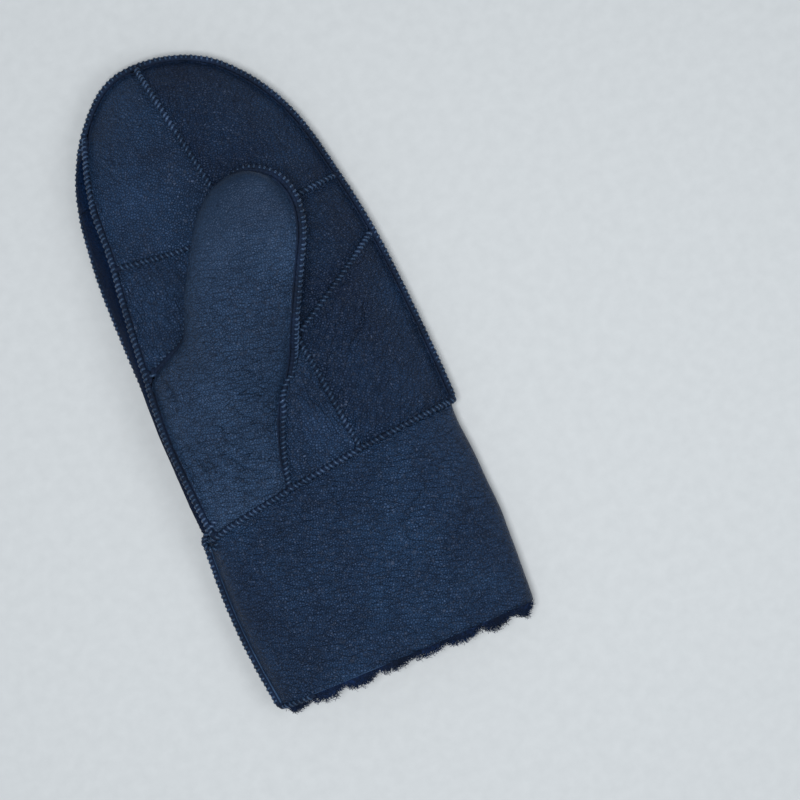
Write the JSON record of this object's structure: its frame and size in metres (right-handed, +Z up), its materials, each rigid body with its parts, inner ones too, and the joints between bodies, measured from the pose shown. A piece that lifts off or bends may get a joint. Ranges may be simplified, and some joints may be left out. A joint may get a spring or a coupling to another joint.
{
  "type": "leather mitten",
  "caption": "Navy blue sheepskin mitten lying palm up, thumb folded onto a pieced palm, side gusset, whipped seams, cuff and blue wool at the mouth.",
  "frame": {"origin": "middle of the underside, on the floor", "axes": "+Y from the hem to the fingertips, +X towards the little finger's edge, +Z up out of the palm"},
  "size_m": [0.1306, 0.2948, 0.0518],
  "materials": {
    "leather": "soft satin, fine grain",
    "thread": "slightly glossy thread",
    "wool": "matte fleece"
  },
  "bodies": {
    "root": {"back_panel": "leather", "gusset_lower": "leather", "gusset_upper": "leather", "palm_tip_thumb_side": "leather", "palm_tip_little_side": "leather", "palm_side": "leather", "palm_corner": "leather", "palm_lower": "leather", "thumb_front": "leather", "thumb_back": "leather", "cuff": "leather", "seam_back_edge": "thread", "seam_gusset": "thread", "seam_palm_centre": "thread", "seam_palm_cross_thumb_side": "thread", "seam_palm_cross_little_side": "thread", "seam_palm_side": "thread", "seam_thumb": "thread", "seam_wrist": "thread", "seam_cuff_side": "thread", "wool_lining": "wool"}
  },
  "joints": []
}
